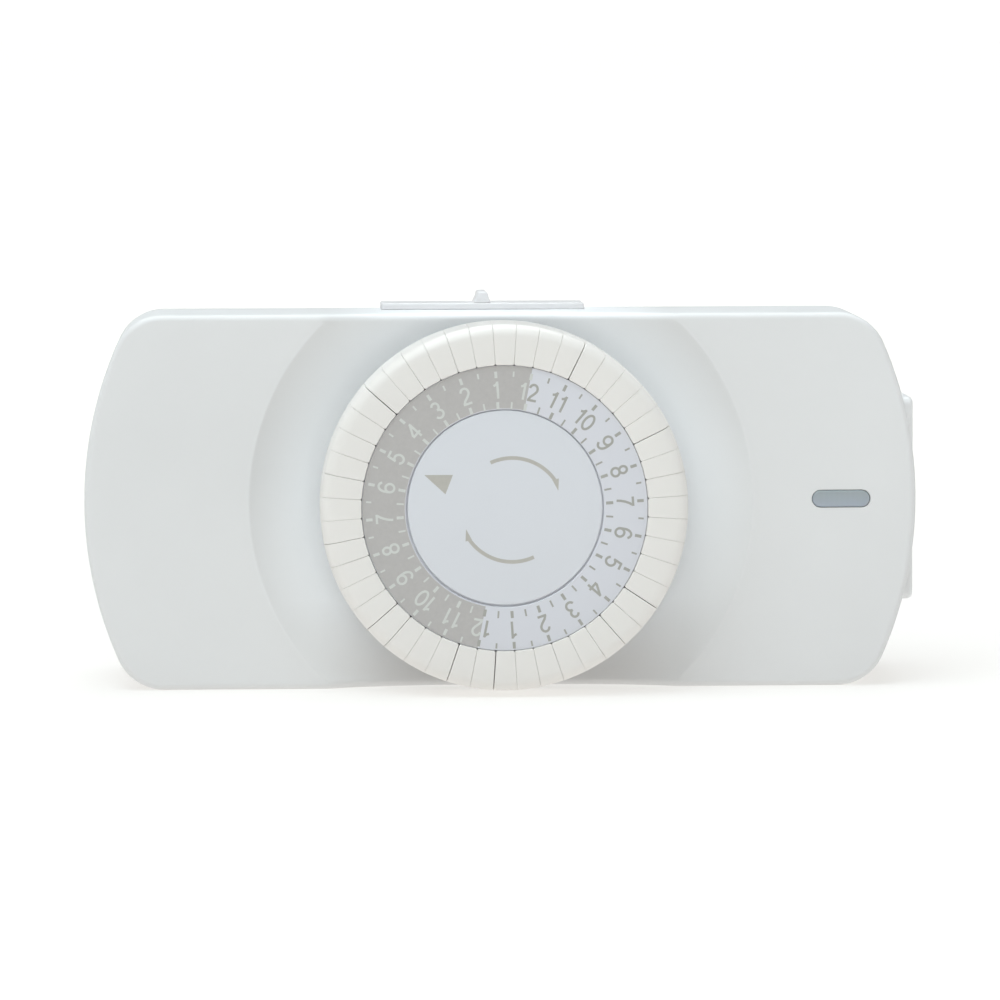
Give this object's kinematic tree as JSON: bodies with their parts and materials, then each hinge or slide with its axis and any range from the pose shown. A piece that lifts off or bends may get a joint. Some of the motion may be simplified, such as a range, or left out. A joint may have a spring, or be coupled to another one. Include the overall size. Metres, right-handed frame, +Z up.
{
  "type": "mechanical plug-in timer",
  "caption": "Wide plug-in mains timer with curved ends, a raised round dial ringed by push-in tabs, a top slider, an indicator and a side outlet.",
  "frame": {"origin": "middle of the flat wall face, on the dial's axis", "axes": "+Z up, +X to the viewer's right along the width, -Y out of the front through the dial, +Y out of the wall face along the plug blades"},
  "size_m": [0.1422, 0.0729, 0.0671],
  "materials": {
    "housing_plastic": "fine-textured moulded plastic, cool light grey-white",
    "tab_plastic": "smooth moulded plastic, warm white",
    "dial_plastic": "moulded plastic, printed half grey and half pale blue-white",
    "cap_plastic": "satin moulded plastic, pale blue-grey, printed arrows",
    "lens_plastic": "translucent blue-grey lens",
    "lamp_glass": "clear neon capsule",
    "resistor_ceramic": "lacquered ceramic",
    "gear_nylon": "natural nylon",
    "black_plastic": "black moulded plastic",
    "button_plastic": "red plastic",
    "plain_steel": "zinc-plated steel",
    "screw_steel": "zinc-plated steel",
    "contact_brass": "satin brass",
    "lead_black": "PVC insulation",
    "lead_white": "PVC insulation"
  },
  "bodies": {
    "root": {"front_housing": "housing_plastic", "rear_housing": "housing_plastic", "housing_screws": "screw_steel", "receptacle_face": "housing_plastic", "indicator_lens": "lens_plastic", "neon_lamp": "lamp_glass", "lamp_resistor": "resistor_ceramic", "centre_cap": "cap_plastic", "centre_spindle": "plain_steel", "movement_plate": "plain_steel", "movement_screws": "screw_steel", "motor_case": "plain_steel", "microswitch_case": "black_plastic", "microswitch_terminals": "contact_brass", "lever_spring": "plain_steel", "override_contacts": "contact_brass", "line_blade": "contact_brass", "neutral_blade": "contact_brass", "ground_pin": "contact_brass", "outlet_contacts": "contact_brass", "outlet_ground_contact": "contact_brass", "neutral_strap": "contact_brass", "ground_strap": "contact_brass", "line_lead": "lead_black", "load_lead": "lead_black", "motor_leads": "lead_white"},
    "dial": {"dial_disc": "dial_plastic", "tab_carrier": "tab_plastic", "dial_gear": "gear_nylon", "clutch_washer": "plain_steel"},
    "idler": {"idler_gear": "gear_nylon"},
    "motor_shaft": {"motor_pinion": "gear_nylon"},
    "lever": {"switch_lever": "gear_nylon"},
    "switch_button": {"microswitch_button": "button_plastic"},
    "slider": {"override_slider": "housing_plastic", "override_bridge": "contact_brass"},
    "tab_pair_01": {"tab_pair_01": "tab_plastic"},
    "tab_pair_02": {"tab_pair_02": "tab_plastic"},
    "tab_pair_03": {"tab_pair_03": "tab_plastic"},
    "tab_pair_04": {"tab_pair_04": "tab_plastic"},
    "tab_pair_05": {"tab_pair_05": "tab_plastic"},
    "tab_pair_06": {"tab_pair_06": "tab_plastic"},
    "tab_pair_07": {"tab_pair_07": "tab_plastic"},
    "tab_pair_08": {"tab_pair_08": "tab_plastic"},
    "tab_pair_09": {"tab_pair_09": "tab_plastic"},
    "tab_pair_10": {"tab_pair_10": "tab_plastic"},
    "tab_pair_11": {"tab_pair_11": "tab_plastic"},
    "tab_pair_12": {"tab_pair_12": "tab_plastic"},
    "tab_pair_13": {"tab_pair_13": "tab_plastic"},
    "tab_pair_14": {"tab_pair_14": "tab_plastic"},
    "tab_pair_15": {"tab_pair_15": "tab_plastic"},
    "tab_pair_16": {"tab_pair_16": "tab_plastic"},
    "tab_pair_17": {"tab_pair_17": "tab_plastic"},
    "tab_pair_18": {"tab_pair_18": "tab_plastic"},
    "tab_pair_19": {"tab_pair_19": "tab_plastic"},
    "tab_pair_20": {"tab_pair_20": "tab_plastic"},
    "tab_pair_21": {"tab_pair_21": "tab_plastic"},
    "tab_pair_22": {"tab_pair_22": "tab_plastic"},
    "tab_pair_23": {"tab_pair_23": "tab_plastic"},
    "tab_pair_24": {"tab_pair_24": "tab_plastic"}
  },
  "joints": [
    {"name": "dial_turn", "type": "hinge", "parent": "root", "child": "dial", "pos_m": [0, -0.045, 0], "axis": [0, 1, 0], "continuous": true},
    {"name": "idler_turn", "type": "hinge", "parent": "root", "child": "idler", "pos_m": [0.018, -0.028, -0.01082], "axis": [0, 1, 0], "continuous": true},
    {"name": "motor_turn", "type": "hinge", "parent": "root", "child": "motor_shaft", "pos_m": [0.033, -0.027, -0.01082], "axis": [0, 1, 0], "continuous": true},
    {"name": "lever_tilt", "type": "hinge", "parent": "root", "child": "lever", "pos_m": [-0.04, -0.03, 0.01024], "axis": [0, 0, 1], "range_deg": [0, 8.4], "deforming": ["lever_spring"]},
    {"name": "button_press", "type": "slide", "parent": "root", "child": "switch_button", "axis": [0, 1, 0], "range_m": [0, 0.0011]},
    {"name": "slider_slide", "type": "slide", "parent": "root", "child": "slider", "axis": [1, 0, 0], "range_m": [0, 0.004]},
    {"name": "tab_pair_01_push", "type": "slide", "parent": "dial", "child": "tab_pair_01", "axis": [0, 1, 0], "range_m": [0, 0.004]},
    {"name": "tab_pair_02_push", "type": "slide", "parent": "dial", "child": "tab_pair_02", "axis": [0, 1, 0], "range_m": [0, 0.004]},
    {"name": "tab_pair_03_push", "type": "slide", "parent": "dial", "child": "tab_pair_03", "axis": [0, 1, 0], "range_m": [0, 0.004]},
    {"name": "tab_pair_04_push", "type": "slide", "parent": "dial", "child": "tab_pair_04", "axis": [0, 1, 0], "range_m": [0, 0.004]},
    {"name": "tab_pair_05_push", "type": "slide", "parent": "dial", "child": "tab_pair_05", "axis": [0, 1, 0], "range_m": [0, 0.004]},
    {"name": "tab_pair_06_push", "type": "slide", "parent": "dial", "child": "tab_pair_06", "axis": [0, 1, 0], "range_m": [0, 0.004]},
    {"name": "tab_pair_07_push", "type": "slide", "parent": "dial", "child": "tab_pair_07", "axis": [0, 1, 0], "range_m": [0, 0.004]},
    {"name": "tab_pair_08_push", "type": "slide", "parent": "dial", "child": "tab_pair_08", "axis": [0, 1, 0], "range_m": [0, 0.004]},
    {"name": "tab_pair_09_push", "type": "slide", "parent": "dial", "child": "tab_pair_09", "axis": [0, 1, 0], "range_m": [0, 0.004]},
    {"name": "tab_pair_10_push", "type": "slide", "parent": "dial", "child": "tab_pair_10", "axis": [0, 1, 0], "range_m": [0, 0.004]},
    {"name": "tab_pair_11_push", "type": "slide", "parent": "dial", "child": "tab_pair_11", "axis": [0, 1, 0], "range_m": [0, 0.004]},
    {"name": "tab_pair_12_push", "type": "slide", "parent": "dial", "child": "tab_pair_12", "axis": [0, 1, 0], "range_m": [0, 0.004]},
    {"name": "tab_pair_13_push", "type": "slide", "parent": "dial", "child": "tab_pair_13", "axis": [0, 1, 0], "range_m": [0, 0.004]},
    {"name": "tab_pair_14_push", "type": "slide", "parent": "dial", "child": "tab_pair_14", "axis": [0, 1, 0], "range_m": [0, 0.004]},
    {"name": "tab_pair_15_push", "type": "slide", "parent": "dial", "child": "tab_pair_15", "axis": [0, 1, 0], "range_m": [0, 0.004]},
    {"name": "tab_pair_16_push", "type": "slide", "parent": "dial", "child": "tab_pair_16", "axis": [0, 1, 0], "range_m": [0, 0.004]},
    {"name": "tab_pair_17_push", "type": "slide", "parent": "dial", "child": "tab_pair_17", "axis": [0, 1, 0], "range_m": [0, 0.004]},
    {"name": "tab_pair_18_push", "type": "slide", "parent": "dial", "child": "tab_pair_18", "axis": [0, 1, 0], "range_m": [0, 0.004]},
    {"name": "tab_pair_19_push", "type": "slide", "parent": "dial", "child": "tab_pair_19", "axis": [0, 1, 0], "range_m": [0, 0.004]},
    {"name": "tab_pair_20_push", "type": "slide", "parent": "dial", "child": "tab_pair_20", "axis": [0, 1, 0], "range_m": [0, 0.004]},
    {"name": "tab_pair_21_push", "type": "slide", "parent": "dial", "child": "tab_pair_21", "axis": [0, 1, 0], "range_m": [0, 0.004]},
    {"name": "tab_pair_22_push", "type": "slide", "parent": "dial", "child": "tab_pair_22", "axis": [0, 1, 0], "range_m": [0, 0.004]},
    {"name": "tab_pair_23_push", "type": "slide", "parent": "dial", "child": "tab_pair_23", "axis": [0, 1, 0], "range_m": [0, 0.004]},
    {"name": "tab_pair_24_push", "type": "slide", "parent": "dial", "child": "tab_pair_24", "axis": [0, 1, 0], "range_m": [0, 0.004]}
  ],
  "couplings": [
    {"joint": "idler_turn", "follows": "dial_turn", "ratio": -6},
    {"joint": "motor_turn", "follows": "dial_turn", "ratio": 24},
    {"joint": "lever_tilt", "follows": "tab_pair_05_push", "rad_per_m": 36.652},
    {"joint": "button_press", "follows": "tab_pair_05_push", "ratio": 0.275}
  ]
}
